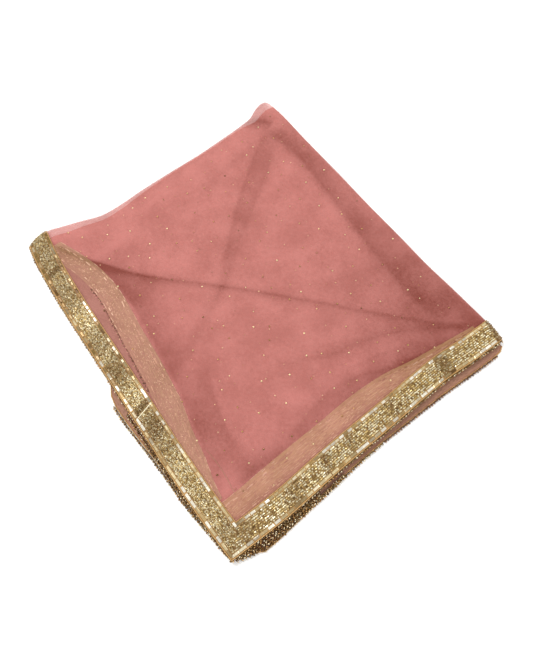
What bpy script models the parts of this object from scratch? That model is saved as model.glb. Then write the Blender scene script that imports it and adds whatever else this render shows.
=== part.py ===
"""A net dupatta with a gold lace border, folded flat into a rectangular packet.

x runs along the packet towards the laced corner, y runs across it away from the laced long side,
z is up, and the packet lies on z = 0. Sizes are in metres.
"""

from collections import namedtuple

import bpy
import numpy as np
from mathutils.bvhtree import BVHTree

MM = 0.001

# Driving sizes of the folded packet
PACKET_LENGTH = 0.574
PACKET_WIDTH = 0.498
MIDDLE_HEIGHT = 0.0105
CENTRE = (-0.28697, 0.24295)

# Walls and the gaps between them
NET_THICK = 0.0010
LACE_THICK = 0.0014
UNDER_LACE_THICK = 0.0014
SECOND_LACE_THICK = 0.0012
SEAM_GAP = 0.0003
SECOND_LACE_DEPTH = 0.0019
CORE_DEPTH = 0.0042

# The lace border and its bead edging
SIDE_LACE_WIDTH = 0.035
END_LACE_WIDTH = 0.037
LACE_RISE = 0.0022
LACE_RAMP = 0.034
LACE_DROOP = 0.0026
BEAD_SIZE = 0.0030

# How the top net rolls over the two folded edges: (reach of the roll, height of its rim)
SHORT_FOLD_REACH = 0.052
SHORT_FOLD_RIM = 0.0018
LONG_FOLD_REACH = 0.006
LONG_FOLD_RIM = 0.0074

Edge = namedtuple("Edge", "along at")
Band = namedtuple("Band", "along outer inner")
Station = namedtuple("Station", "share offset")
Crease = namedtuple("Crease", "x0 y0 x1 y1 half_width depth")
Level = namedtuple("Level", "share lace_out long_out short_out")

# The outline of the top layer, in mm from the laced corner: place along the edge, place of the edge
SIDE_EDGE = (Edge(-578, 5), Edge(-540, 0), Edge(-465, -4), Edge(-343, -5), Edge(-229, -5.5), Edge(-142, -6),
             Edge(-50, -3), Edge(0, 0))
END_EDGE = (Edge(0, -1), Edge(100, -1), Edge(190, -7), Edge(274, -10), Edge(350, -13.5), Edge(400, -15),
            Edge(448, -12), Edge(500, -11))
SHORT_FOLD_EDGE = (Edge(0, -577), Edge(28, -587), Edge(46, -587), Edge(62, -582), Edge(94, -572), Edge(128, -561),
                   Edge(163, -560), Edge(205, -563), Edge(266, -565), Edge(329, -566), Edge(373, -569),
                   Edge(420, -573), Edge(443, -577), Edge(460, -586), Edge(476, -591), Edge(492, -588))
LONG_FOLD_EDGE = (Edge(-590, 485), Edge(-564, 488.5), Edge(-476, 491), Edge(-392, 494), Edge(-313, 495),
                  Edge(-236, 498), Edge(-163, 500), Edge(-127, 503), Edge(-57, 507), Edge(-25, 507), Edge(-4, 504))

# Grid lines of the top layer: share of the way between the two edges, then an offset in mm
LENGTH_STATIONS = (Station(0, 0), Station(0, 2), Station(0, 6), Station(0, 14), Station(0, 28), Station(0, 52),
                   Station(0.17, 0), Station(0.26, 0), Station(0.35, 0), Station(0.45, 0), Station(0.55, 0),
                   Station(0.65, 0), Station(0.74, 0), Station(0.82, 0), Station(1, -62), Station(1, -37),
                   Station(1, -18.5), Station(1, 0))
WIDTH_STATIONS = (Station(0, 0), Station(0, 17.5), Station(0, 35), Station(0, 62), Station(0.2, 0),
                  Station(0.29, 0), Station(0.38, 0), Station(0.48, 0), Station(0.58, 0), Station(0.68, 0),
                  Station(0.78, 0), Station(0.88, 0), Station(1, -24), Station(1, -6), Station(1, -3),
                  Station(1, -1), Station(1, 0))
LACE_CELLS = 2
BAND_CELLS = 3
BAND_STEP = 28

# The same for the hidden folds, whose top stays inside the top layer's edges
CORE_LENGTH_STATIONS = (Station(0, 30), Station(0, 52)) + LENGTH_STATIONS[6:15] + (Station(1, -37), Station(1, -15))
CORE_WIDTH_STATIONS = (Station(0, 16), Station(0, 35)) + WIDTH_STATIONS[3:12] + (Station(1, -24), Station(1, -11))

# Soft troughs pressed in by the earlier folds, in mm from the laced corner
CREASES = (
    Crease(-530, 56, -300, 243, 20, 1.3),
    Crease(-300, 243, -60, 470, 26, 1.0),
    Crease(-540, 440, -300, 190, 24, 1.0),
    Crease(-300, 190, -175, 76, 20, 0.7),
    Crease(-520, 436, -110, 436, 18, 0.9),
)

# Edges of the hidden layers, from the top down: share of the height, reach outwards in mm at each edge
CORE_LEVELS = (
    Level(0.96, 1.2, 1.5, 2.0),
    Level(0.84, 3.6, 4.0, 4.5),
    Level(0.72, 1.6, 1.8, 5.5),
    Level(0.60, 3.9, 4.5, 7.0),
    Level(0.46, 1.8, 2.2, 7.5),
    Level(0.32, 4.2, 5.0, 9.0),
    Level(0.18, 2.0, 2.8, 9.5),
    Level(0.07, 4.2, 5.4, 10.5),
    Level(0.00, 3.6, 4.6, 10.0),
)

# The second layer's border, seen through the net: place along the edge, outer and inner edge, in mm
SECOND_SIDE = (Band(-550, 22, 50), Band(-510, 33, 66), Band(-472, 44, 77), Band(-424, 49, 82), Band(-387, 46, 80),
               Band(-344, 42, 76), Band(-296, 38, 73), Band(-252, 33, 68), Band(-220, 29, 64), Band(-167, 18, 52),
               Band(-133, 12, 47), Band(-100, 5, 39), Band(-73, 2, 35))
SECOND_END = (Band(3, -34, -70), Band(34, -34, -69), Band(100, -36, -72), Band(164, -39, -75), Band(199, -41, -76),
              Band(278, -44, -79), Band(326, -42, -76), Band(370, -34, -68), Band(421, -27, -61),
              Band(484, -20, -53))
SECOND_BEADS_START = -450
SECOND_BEADS_END = -255

# The lower layers' border on the table: outer edges, in mm
UNDER_SIDE = (Edge(-560, 4), Edge(-440, -1), Edge(-330, -1), Edge(-306, -6), Edge(-288, -16), Edge(-270, -19),
              Edge(-234, -18), Edge(-206, -16), Edge(-174, -13.5), Edge(-137, -11.5), Edge(-103, -11),
              Edge(-75, -8), Edge(-44, -4), Edge(-8, 0))
UNDER_END = (Edge(38, 16.5), Edge(64, 16), Edge(105, 12.5), Edge(147, 9), Edge(171, 5.5), Edge(204, 1.5),
             Edge(270, -1), Edge(380, -0.8), Edge(440, 1.8), Edge(480, 2.8), Edge(492, 2), Edge(500, -3))
UNDER_SIDE_BEADS = (Edge(-272, -21.2), Edge(-234, -20.2), Edge(-206, -18.2), Edge(-174, -15.7), Edge(-137, -13.7),
                    Edge(-103, -13), Edge(-75, -10.2), Edge(-44, -6.2), Edge(-12, -2.4))
UNDER_END_BEADS = (Edge(46, 8.5), Edge(105, 9), Edge(147, 7.5), Edge(171, 6), Edge(204, 3.2), Edge(270, 0.8),
                   Edge(380, 1.2), Edge(440, 3.4), Edge(486, 4.4))
UNDER_LACE_INSET = 0.0094
UNDER_SIDE_BEAD_BASE = 0.0004
UNDER_END_BEAD_BASE = 0.0019


def at_edge(table, along):
    """The edge's place at a distance along it; both in metres."""
    return float(np.interp(along / MM, [row.along for row in table], [row.at for row in table])) * MM


def smooth(share):
    """A soft 0 to 1 ramp."""
    share = np.clip(share, 0.0, 1.0)
    return share * share * (3 - 2 * share)


def roll(inset, reach, rim, top):
    """Height of cloth that rounds over an edge: a quarter of an ellipse."""
    share = 1 - np.clip(inset, 0.0, reach) / reach
    return rim + (top - rim) * np.sqrt(1 - share * share)


def crease_depth(x, y):
    """Summed depth of the pressed-in troughs."""
    depth = 0.0
    for crease in CREASES:
        start = np.array((crease.x0, crease.y0)) * MM
        run = np.array((crease.x1, crease.y1)) * MM - start
        share = np.clip(np.dot((x, y) - start, run) / np.dot(run, run), 0, 1)
        away = np.linalg.norm((x, y) - start - share * run)
        depth += crease.depth * MM * np.exp(-((away / (crease.half_width * MM)) ** 2))
    return depth


def lace_lift(inset, width):
    """The stacked borders lift the cloth, and the outermost edge droops again."""
    lift = LACE_RISE * (1 - smooth((inset - width) / LACE_RAMP))
    droop = LACE_DROOP * np.clip(1 - inset / width, 0, 1) ** 2
    return lift, droop


def top_height(x, y):
    """Height of the top net's outer face."""
    side_lift, side_droop = lace_lift(y - at_edge(SIDE_EDGE, x), SIDE_LACE_WIDTH)
    end_lift, end_droop = lace_lift(at_edge(END_EDGE, y) - x, END_LACE_WIDTH)
    top = MIDDLE_HEIGHT + max(side_lift, end_lift) - max(side_droop, end_droop) - crease_depth(x, y)
    over_short = roll(x - at_edge(SHORT_FOLD_EDGE, y), SHORT_FOLD_REACH, SHORT_FOLD_RIM, top)
    over_long = roll(at_edge(LONG_FOLD_EDGE, x) - y, LONG_FOLD_REACH, LONG_FOLD_RIM, top)
    return min(over_short, over_long)


def grid_place(length_station, width_station):
    """Where two grid lines cross, between the four edges."""
    x = -PACKET_LENGTH * (1 - length_station.share)
    y = PACKET_WIDTH * width_station.share
    for _ in range(3):
        low = at_edge(SHORT_FOLD_EDGE, y)
        high = at_edge(END_EDGE, y)
        x = low + (high - low) * length_station.share + length_station.offset * MM
        low = at_edge(SIDE_EDGE, x)
        high = at_edge(LONG_FOLD_EDGE, x)
        y = low + (high - low) * width_station.share + width_station.offset * MM
    return x, y


def grid_points(length_stations, width_stations, height):
    """The points of a sheet on the crossings of the grid lines."""
    points = {}
    for i, length_station in enumerate(length_stations):
        for j, width_station in enumerate(width_stations):
            x, y = grid_place(length_station, width_station)
            points[i, j] = np.array((x, y, height(x, y)))
    return points


def grid_faces(columns, rows):
    """Two triangles for each cell, split along the same diagonal as the mitre."""
    faces = []
    for i in columns:
        for j in rows:
            faces.append(((i, j), (i + 1, j), (i, j + 1)))
            faces.append(((i + 1, j), (i + 1, j + 1), (i, j + 1)))
    return faces


def height_over(points, faces):
    """A function that gives the height of a faceted sheet at a place."""
    keys = list(points)
    number = {key: n for n, key in enumerate(keys)}
    tree = BVHTree.FromPolygons([tuple(points[key]) for key in keys],
                                [[number[key] for key in face] for face in faces])

    def height(x, y):
        hit = tree.ray_cast((x, y, 1), (0, 0, -1))[0]
        return hit.z
    return height


def point_normals(points, faces):
    """Unit normals at the points, averaged over the faces."""
    normals = {key: np.zeros(3) for key in points}
    for face in faces:
        a, b, c = (points[key] for key in face)
        for key in face:
            normals[key] += np.cross(b - a, c - a)
    return {key: normal / np.linalg.norm(normal) for key, normal in normals.items() if normal.any()}


def moved(points, normals, distance):
    """The points moved out along their normals."""
    return {key: points[key] + normal * distance for key, normal in normals.items()}


def loose_edges(faces):
    """The edges with one face only, in that face's direction."""
    edges = [(face[n], face[(n + 1) % len(face)]) for face in faces for n in range(len(face))]
    known = set(edges)
    return [edge for edge in edges if (edge[1], edge[0]) not in known]


def material(name, colour, roughness, metallic):
    made = bpy.data.materials.new(name)
    made.use_nodes = True
    shader = made.node_tree.nodes["Principled BSDF"]
    shader.inputs["Base Color"].default_value = (*colour, 1)
    shader.inputs["Roughness"].default_value = roughness
    shader.inputs["Metallic"].default_value = metallic
    return made


def add_object(name, points, faces, finish):
    """One object from keyed points and faces, moved so that the packet's middle is the origin."""
    keys = sorted({key for face in faces for key in face})
    number = {key: n for n, key in enumerate(keys)}
    shift = np.array((CENTRE[0], CENTRE[1], 0))
    mesh = bpy.data.meshes.new(name)
    mesh.from_pydata([tuple(points[key] - shift) for key in keys], [],
                     [[number[key] for key in face] for face in faces])
    mesh.materials.append(finish)
    thing = bpy.data.objects.new(name, mesh)
    bpy.context.scene.collection.objects.link(thing)
    return thing


def add_wall(name, outer, inner, faces, finish):
    """A closed wall between an outer and an inner sheet with the same faces."""
    points = {(*key, 0): point for key, point in outer.items()}
    points.update({(*key, 1): point for key, point in inner.items()})
    closed = [tuple((*key, 0) for key in face) for face in faces]
    closed += [tuple((*key, 1) for key in reversed(face)) for face in faces]
    for a, b in loose_edges(faces):
        closed.append(((*b, 0), (*a, 0), (*a, 1)))
        closed.append(((*b, 0), (*a, 1), (*b, 1)))
    return add_object(name, points, closed, finish)


def add_bar(name, route, finish):
    """The plain solid of a bead edging's reach: a square bar along its middle line."""
    half = BEAD_SIZE / 2
    corners = ((-half, -half), (half, -half), (half, half), (-half, half))
    points = {}
    for n, place in enumerate(route):
        run = route[min(n + 1, len(route) - 1)] - route[max(n - 1, 0)]
        across = np.array((-run[1], run[0], 0)) / np.hypot(run[0], run[1])
        for k, (sideways, up) in enumerate(corners):
            points[n, k] = place + across * sideways + np.array((0, 0, up))
    faces = [((0, 3), (0, 2), (0, 1), (0, 0))]
    last = len(route) - 1
    faces.append(((last, 0), (last, 1), (last, 2), (last, 3)))
    for n in range(last):
        for k in range(4):
            other = (k + 1) % 4
            faces.append(((n, other), (n + 1, other), (n + 1, k), (n, k)))
    return add_object(name, points, faces, finish)


def add_band(name, outer, inner, lift, depths, finish):
    """A lace wall between two edge lines, at two depths under the surface that lift gives."""
    faces = []
    top = {}
    bottom = {}
    for n, (start, end) in enumerate(zip(outer, inner)):
        for k in range(BAND_CELLS + 1):
            x, y = np.array(start) + (np.array(end) - start) * k / BAND_CELLS
            top[n, k] = np.array((x, y, lift(x, y) - depths[0]))
            bottom[n, k] = np.array((x, y, lift(x, y) - depths[1]))
    faces = grid_faces(range(len(outer) - 1), range(BAND_CELLS))
    a, b, c = (top[key] for key in faces[0])
    if np.cross(b - a, c - a)[2] < 0:
        faces = [tuple(reversed(face)) for face in faces]
    return add_wall(name, top, bottom, faces, finish)


def top_layer(finishes):
    """The top net, its two mitred borders and their bead edging."""
    last_i = len(LENGTH_STATIONS) - 1
    last_j = len(WIDTH_STATIONS) - 1
    net = grid_points(LENGTH_STATIONS, WIDTH_STATIONS, top_height)
    net_faces = grid_faces(range(last_i), range(last_j))
    normals = point_normals(net, net_faces)
    add_wall("top_net", net, moved(net, normals, -NET_THICK), net_faces, finishes["net"])

    lace_bottom = moved(net, normals, SEAM_GAP)
    lace_top = moved(net, normals, SEAM_GAP + LACE_THICK)

    def outside_mitre(key):
        """How far a grid point is past the mitre line, in cells, towards the short edge."""
        return key[0] + key[1] - last_i

    side_faces = [face for face in grid_faces(range(last_i), range(LACE_CELLS))
                  if max(outside_mitre(key) for key in face) <= 0]
    end_faces = [face for face in grid_faces(range(last_i - LACE_CELLS, last_i), range(last_j))
                 if min(outside_mitre(key) for key in face) >= 0]
    for name, faces, away in (("top_side_border", side_faces, -1), ("top_end_border", end_faces, 1)):
        kept = {key for face in faces for key in face}
        step = np.array((1, 1, 0)) * away * SEAM_GAP / 2
        upper = {key: lace_top[key] + (step if outside_mitre(key) == 0 else 0) for key in kept}
        lower = {key: lace_bottom[key] + (step if outside_mitre(key) == 0 else 0) for key in kept}
        add_wall(name, upper, lower, faces, finishes["lace"])

    out = BEAD_SIZE / 2 + SEAM_GAP + LACE_THICK / 2
    drop = LACE_THICK / 2 + SEAM_GAP
    side_route = [lace_top[i, 0] + np.array((0, -out, -drop)) for i in range(last_i + 1)]
    end_route = [lace_top[last_i, j] + np.array((out, 0, -drop)) for j in range(last_j + 1)]
    end_route[0] = end_route[0] + np.array((0, 2 * SEAM_GAP, 0))
    add_bar("top_side_beads", side_route, finishes["beads"])
    add_bar("top_end_beads", end_route, finishes["beads"])
    return height_over(net, net_faces)


def hidden_folds(net_height, finishes):
    """The layers below the top one, as one rounded solid with a flat underside."""
    last_i = len(CORE_LENGTH_STATIONS) - 1
    last_j = len(CORE_WIDTH_STATIONS) - 1
    points = grid_points(CORE_LENGTH_STATIONS, CORE_WIDTH_STATIONS, lambda x, y: net_height(x, y) - CORE_DEPTH)
    faces = grid_faces(range(last_i), range(last_j))
    rim = [(i, 0) for i in range(last_i)] + [(last_i, j) for j in range(last_j)]
    rim += [(i, last_j) for i in range(last_i, 0, -1)] + [(0, j) for j in range(last_j, 0, -1)]
    above = rim
    for n, level in enumerate(CORE_LEVELS):
        ring = []
        for i, j in rim:
            key = (i, j, n)
            out_x = (level.lace_out if i == last_i else 0) - (level.short_out if i == 0 else 0)
            out_y = (level.long_out if j == last_j else 0) - (level.lace_out if j == 0 else 0)
            corner = 0.7 if out_x and out_y else 1.0
            x, y, z = points[i, j]
            points[key] = np.array((x + out_x * corner * MM, y + out_y * corner * MM, z * level.share))
            ring.append(key)
        for k in range(len(ring)):
            other = (k + 1) % len(ring)
            faces.append((above[other], above[k], ring[k]))
            faces.append((above[other], ring[k], ring[other]))
        above = ring
    faces.append(tuple(reversed(above)))
    renamed = {key: (*key, -1)[:3] for key in points}
    add_object("hidden_folds", {renamed[key]: point for key, point in points.items()},
               [tuple(renamed[key] for key in face) for face in faces], finishes["folds"])


def even_rows(table):
    """The band table read again at even steps, so that the band follows the net's dips."""
    start = table[0].along
    end = table[-1].along
    steps = round((end - start) / BAND_STEP)
    along = np.linspace(start, end, steps + 1)
    columns = [np.interp(along, [row.along for row in table], [getattr(row, name) for row in table])
               for name in ("outer", "inner")]
    return [Band(*row) for row in zip(along, *columns)]


def second_layer(net_height, finishes):
    """The second layer's border, which lies between the hidden folds and the top net."""
    depths = (SECOND_LACE_DEPTH, SECOND_LACE_DEPTH + SECOND_LACE_THICK)
    side = even_rows(SECOND_SIDE)
    add_band("second_side_border",
             [(row.along * MM, row.outer * MM) for row in side],
             [(row.along * MM, row.inner * MM) for row in side],
             net_height, depths, finishes["wrong_side"])
    end = even_rows(SECOND_END)
    add_band("second_end_border",
             [(row.outer * MM, row.along * MM) for row in end],
             [(row.inner * MM, row.along * MM) for row in end],
             net_height, depths, finishes["wrong_side"])
    near = SEAM_GAP / MM
    far = (SEAM_GAP + BEAD_SIZE) / MM
    beaded = [row for row in side if SECOND_BEADS_START < row.along < SECOND_BEADS_END]
    add_band("second_side_beads",
             [(row.along * MM, (row.outer - far) * MM) for row in beaded],
             [(row.along * MM, (row.outer - near) * MM) for row in beaded],
             net_height, depths, finishes["beads"])


def table_height(x, y):
    return 0.0


def under_layers(finishes):
    """The lower layers' border, which lies on the table and peeps out under the top one."""
    depths = (-UNDER_LACE_THICK, 0)
    side = [(row.along * MM, row.at * MM) for row in UNDER_SIDE]
    add_band("under_side_border", side,
             [(x, at_edge(SIDE_EDGE, x) + UNDER_LACE_INSET) for x, y in side],
             table_height, depths, finishes["wrong_side"])
    end = [(row.at * MM, row.along * MM) for row in UNDER_END]
    add_band("under_end_border", end,
             [(at_edge(END_EDGE, y) - UNDER_LACE_INSET, y) for x, y in end],
             table_height, depths, finishes["wrong_side"])
    side_height = UNDER_SIDE_BEAD_BASE + BEAD_SIZE / 2
    end_height = UNDER_END_BEAD_BASE + BEAD_SIZE / 2
    add_bar("under_side_beads", [np.array((row.along * MM, row.at * MM, side_height)) for row in UNDER_SIDE_BEADS],
            finishes["beads"])
    add_bar("under_end_beads", [np.array((row.at * MM, row.along * MM, end_height)) for row in UNDER_END_BEADS],
            finishes["beads"])


def main():
    for thing in list(bpy.data.objects):
        bpy.data.objects.remove(thing, do_unlink=True)
    finishes = {
        "net": material("rose_net", (0.60, 0.22, 0.20), 0.7, 0.0),
        "folds": material("rose_net_layers", (0.52, 0.18, 0.16), 0.8, 0.0),
        "lace": material("gold_lace", (0.62, 0.50, 0.22), 0.4, 0.7),
        "wrong_side": material("lace_wrong_side", (0.48, 0.24, 0.15), 0.6, 0.2),
        "beads": material("bronze_beads", (0.14, 0.08, 0.03), 0.3, 0.8),
    }
    net_height = top_layer(finishes)
    hidden_folds(net_height, finishes)
    second_layer(net_height, finishes)
    under_layers(finishes)


main()
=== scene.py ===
import functools
import math

import bpy
import numpy as np
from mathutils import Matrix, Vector


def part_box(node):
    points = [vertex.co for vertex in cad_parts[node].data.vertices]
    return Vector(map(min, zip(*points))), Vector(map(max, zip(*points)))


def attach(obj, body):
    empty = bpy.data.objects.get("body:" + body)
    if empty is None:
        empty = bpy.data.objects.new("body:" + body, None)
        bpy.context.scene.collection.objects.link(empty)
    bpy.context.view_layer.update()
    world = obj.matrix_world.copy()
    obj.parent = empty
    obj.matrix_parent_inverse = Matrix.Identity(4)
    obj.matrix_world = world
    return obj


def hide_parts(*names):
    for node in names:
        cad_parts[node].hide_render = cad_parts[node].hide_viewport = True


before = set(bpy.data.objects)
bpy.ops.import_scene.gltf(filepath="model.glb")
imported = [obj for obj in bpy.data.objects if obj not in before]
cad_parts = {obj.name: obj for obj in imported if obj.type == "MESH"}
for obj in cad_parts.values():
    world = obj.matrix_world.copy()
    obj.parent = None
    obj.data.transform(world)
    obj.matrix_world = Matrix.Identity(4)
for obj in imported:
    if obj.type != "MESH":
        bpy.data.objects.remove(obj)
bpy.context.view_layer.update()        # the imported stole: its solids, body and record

# Everything is laid out in millimetres from the laced corner, where the two gold borders meet:
# x runs along the packet towards that corner, so the packet has negative x, and y runs across it.
mm = 0.001
slippedOut = {"end": 16.5, "side": 19}  # how far the lowest ribbons stand out past that corner
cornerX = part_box("under_end_border")[1].x - slippedOut["end"] * mm
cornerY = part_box("under_side_border")[0].y + slippedOut["side"] * mm
dice = np.random.default_rng(11)

bpy.context.scene.view_settings.view_transform = "Standard"


def linear(hexColour):
    # sRGB hex to linear colour
    channels = [int(hexColour[n:n + 2], 16) / 255 for n in (1, 3, 5)]
    return tuple(c / 12.92 if c <= 0.04045 else ((c + 0.055) / 1.055) ** 2.4 for c in channels) + (1.0,)


def setNode(node, settings):
    # a setting is one of the node's attributes, an input's value, or the socket that feeds an input
    for key, value in settings.items():
        if isinstance(value, bpy.types.NodeSocket):
            node.id_data.links.new(value, node.inputs[key])
        elif isinstance(key, str) and hasattr(node, key):
            setattr(node, key, value)
        else:
            node.inputs[key].default_value = value


def addNode(tree, kind, settings):
    node = tree.nodes.new("ShaderNode" + kind)
    setNode(node, settings)
    return node


def newMaterial(name, settings):
    # a Principled material with constants set on its own sockets, and what adds nodes to it
    material = bpy.data.materials.new(name)
    material.use_nodes = True
    shader = material.node_tree.nodes["Principled BSDF"]
    setNode(shader, settings)
    return material, shader, functools.partial(addNode, material.node_tree)


def followTable(table, t):
    # a smooth curve through a short table of (place, value) rows
    xs, ys = np.array(table, float).T
    slopes = np.gradient(ys, xs)
    t = np.clip(np.asarray(t, float), xs[0], xs[-1])
    k = np.clip(np.searchsorted(xs, t) - 1, 0, len(xs) - 2)
    gap = xs[k + 1] - xs[k]
    u = (t - xs[k]) / gap
    return ((2 * u**3 - 3 * u**2 + 1) * ys[k] + (u**3 - 2 * u**2 + u) * gap * slopes[k]
            + (3 * u**2 - 2 * u**3) * ys[k + 1] + (u**3 - u**2) * gap * slopes[k + 1])


def soft(share):
    share = np.clip(share, 0, 1)
    return share * share * (3 - 2 * share)


def unit(vectors):
    return vectors / np.maximum(np.linalg.norm(vectors, axis=-1, keepdims=True), 1e-9)


upright = np.array([0, 0, 1.0])


def flatWay(turn):
    return np.stack([np.cos(turn), np.sin(turn), 0 * turn], -1)


def runAlong(route):
    # how far along a polyline each of its points lies
    return np.concatenate([[0], np.cumsum(np.linalg.norm(np.diff(route, axis=0), axis=1))])


def smoothRoute(route, cut=4):
    # a polyline with its corners rounded off
    steps = np.arange(len(route))
    fine = np.linspace(0, len(route) - 1, (len(route) - 1) * cut + 1)
    return np.stack([followTable(list(zip(steps, values)), fine) for values in zip(*route)], -1)


def awayFromRoute(x, y, route):
    # signed distance from a route, positive on its right hand, and the share of the way along it
    points = smoothRoute(route)
    lengths = np.hypot(*np.diff(points, axis=0).T)
    nearest = np.full(np.broadcast(x, y).shape, 1e9)
    share = np.zeros(nearest.shape)
    done = 0
    for (x0, y0), (x1, y1), length in zip(points, points[1:], lengths):
        along = np.clip(((x - x0) * (x1 - x0) + (y - y0) * (y1 - y0)) / length**2, 0, 1)
        away = np.hypot(x - x0 - along * (x1 - x0), y - y0 - along * (y1 - y0))
        turned = (x - x0) * (y1 - y0) - (y - y0) * (x1 - x0) < 0
        closer = away < np.abs(nearest)
        nearest = np.where(closer, np.where(turned, -away, away), nearest)
        share = np.where(closer, (done + along * length) / lengths.sum(), share)
        done += length
    return nearest, share


# The top layer's outline: place along each edge, then where the edge lies
outline = {
    "side": [(-578, 5), (-540, 0), (-465, -4), (-343, -5), (-229, -5.5), (-142, -6), (-50, -3), (0, 0)],
    "end": [(0, -1), (100, -1), (190, -7), (274, -10), (350, -13.5), (400, -15), (448, -12), (500, -11)],
    "shortFold": [(0, -577), (28, -587), (46, -587), (62, -582), (94, -572), (128, -561), (163, -560),
                  (205, -563), (266, -565), (329, -566), (373, -569), (420, -573), (443, -577), (460, -586),
                  (476, -591), (492, -588)],
    "longFold": [(-590, 485), (-564, 488.5), (-476, 491), (-392, 494), (-313, 495), (-236, 498), (-163, 500),
                 (-127, 503), (-57, 507), (-25, 507), (-4, 504)],
}


def edgeAt(edge, along):
    return followTable(outline[edge], along)


# How the pile stands: its size and heights, and how the cloth rounds over its two folded edges
pile = {
    "length": 574, "width": 498, "middle": 10.3,
    "laceRise": 2.2, "laceRamp": 34, "laceDroop": 2.6,
    "sideLace": 35, "endLace": 37,
    "shortReach": 52, "shortRim": 1.0,
    "longReach": 6, "longRim": 7.2,
    "swell": 0.35, "ripple": 0.2,
}

# Lines pressed into the net by the earlier folds: where each runs, how deep its trough is and half as wide (a
# negative trough is a ridge), how far the net is darkened on its left and right, partly by the layers under
# it and partly by painted shade in and beside the crease, and by how much along it (below 0, a painted
# highlight)
pressedLines = {
    "across": {
        "route": [(-580, 30), (-538, 46), (-492, 72), (-433, 115), (-328, 221), (-238, 306), (-156, 381),
                  (-92, 441), (-45, 492)],
        "trough": (1.1, 6), "reach": (3, 7),
        "tone": [(0, 0.5), (0.12, 0.45), (0.3, 0.36), (0.45, 0.42), (0.6, 0.36), (0.8, 0.34), (1, 0.45)]},
    "besideAcross": {
        "route": [(-560, 34), (-492, 74), (-433, 118), (-350, 190)],
        "trough": (0.5, 16), "reach": (2, 26), "tone": [(0, 0.45), (0.5, 0.3), (1, 0.02)]},
    "downLeft": {
        "route": [(-536, 448), (-503, 402), (-476, 365), (-440, 320), (-403, 280), (-371, 246), (-335, 213),
                  (-318, 190)],
        "trough": (0.7, 6), "reach": (15, 3), "tone": [(0, 0.3), (0.2, 0.22), (0.6, 0.26), (1, 0.08)]},
    "downRight": {
        "route": [(-535, 470), (-505, 440), (-462, 395), (-433, 352), (-400, 306), (-371, 268), (-341, 230),
                  (-321, 200), (-302, 165), (-278, 121), (-255, 87)],
        "trough": (0.5, 9), "reach": (5, 19), "tone": [(0, 0.1), (0.2, 0.17), (0.7, 0.14), (1, 0.18)]},
    "besideLongFold": {
        "route": [(-548, 446), (-496, 456), (-450, 461), (-374, 457), (-310, 451), (-254, 448), (-200, 446),
                  (-147, 446), (-75, 455)],
        "trough": (0.8, 8), "reach": (32, 8),
        "tone": [(0, 0.5), (0.25, 0.46), (0.5, 0.44), (0.75, 0.44), (1, 0.4)]},
    "cornerFold": {
        "route": [(-572, 425), (-556, 452), (-536, 462)],
        "trough": (0.5, 8), "reach": (8, 12), "tone": [(0, 0.2), (0.5, 0.5), (1, 0.4)]},
    "fanUpper": {
        "route": [(-54, 480), (-97, 416), (-126, 356), (-144, 288), (-166, 237), (-187, 193)],
        "trough": (0.5, 8), "reach": (5, 7), "tone": [(0, 0.5), (0.3, 0.28), (0.7, 0.2), (1, 0)]},
    "fanLower": {
        "route": [(-50, 470), (-65, 388), (-77, 342), (-97, 290), (-102, 241), (-90, 179), (-80, 133)],
        "trough": (0.4, 9), "reach": (16, 3), "tone": [(0, 0.5), (0.3, 0.3), (0.7, 0.18), (1, 0.1)]},
    # painted highlight along the ridge
    "fanRidge": {
        "route": [(-70, 440), (-105, 350), (-118, 290), (-128, 230)],
        "trough": (-0.5, 9), "reach": (6, 6), "tone": [(0, 0), (0.5, -0.12), (1, 0)]},
    # painted shadow along the second end ribbon's inner edge
    "besideEndRibbon": {
        "route": [(-74, 50), (-75, 116), (-78, 180), (-79, 233), (-79, 286), (-71, 345), (-62, 400),
                  (-50, 461)],
        "trough": (0.4, 8), "reach": (18, 5),
        "tone": [(0, 0.45), (0.12, 0.55), (0.25, 0.26), (0.5, 0.26), (0.8, 0.4), (1, 0.45)]},
    # painted shadow along the second side ribbon's inner edge
    "besideSideRibbon": {
        "route": [(-500, 70), (-479, 78), (-410, 86), (-355, 84), (-300, 78), (-251, 74), (-203, 66),
                  (-159, 56), (-104, 44), (-72, 40)],
        "trough": (0.4, 9), "reach": (30, 4),
        "tone": [(0, 0.5), (0.15, 0.5), (0.4, 0.36), (0.6, 0.34), (0.85, 0.3), (1, 0.2)]},
    "lowLeft": {
        "route": [(-245, 125), (-232, 118), (-185, 102), (-142, 91), (-110, 88)],
        "trough": (0.3, 9), "reach": (3, 26), "tone": [(0, 0.05), (0.3, 0.22), (0.8, 0.2), (1, 0)]},
    "nearShortFold": {
        "route": [(-502, 234), (-490, 275), (-508, 346), (-521, 415)],
        "trough": (0.3, 12), "reach": (10, 9), "tone": [(0, 0), (0.5, 0.14), (1, 0.1)]},
}


def clothTop(x, y):
    # height of the top net over the table
    sideInset = y - edgeAt("side", x)
    endInset = edgeAt("end", y) - x
    lift = np.maximum(1 - soft((sideInset - pile["sideLace"]) / pile["laceRamp"]),
                      1 - soft((endInset - pile["endLace"]) / pile["laceRamp"]))
    droop = np.maximum(np.clip(1 - sideInset / pile["sideLace"], 0, 1) ** 2,
                       np.clip(1 - endInset / pile["endLace"], 0, 1) ** 2)
    top = pile["middle"] + pile["laceRise"] * lift - pile["laceDroop"] * droop
    top = top + pile["swell"] * np.sin(x / 61 + 1.3) * np.sin(y / 47 + 0.4)
    top = top + pile["ripple"] * np.sin(x / 23 - y / 31)
    for line in pressedLines.values():
        depth, halfWidth = line["trough"]
        top = top - depth * np.exp(-((awayFromRoute(x, y, line["route"])[0] / halfWidth) ** 2))
    for inset, fold in ((x - edgeAt("shortFold", y), "short"),
                        (edgeAt("longFold", x) - y, "long")):
        reach, rim = pile[f"{fold}Reach"], pile[f"{fold}Rim"]
        share = 1 - np.clip(inset, 0, reach) / reach
        top = np.minimum(top, rim + (top - rim) * np.sqrt(1 - share * share))
    return top
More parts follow.
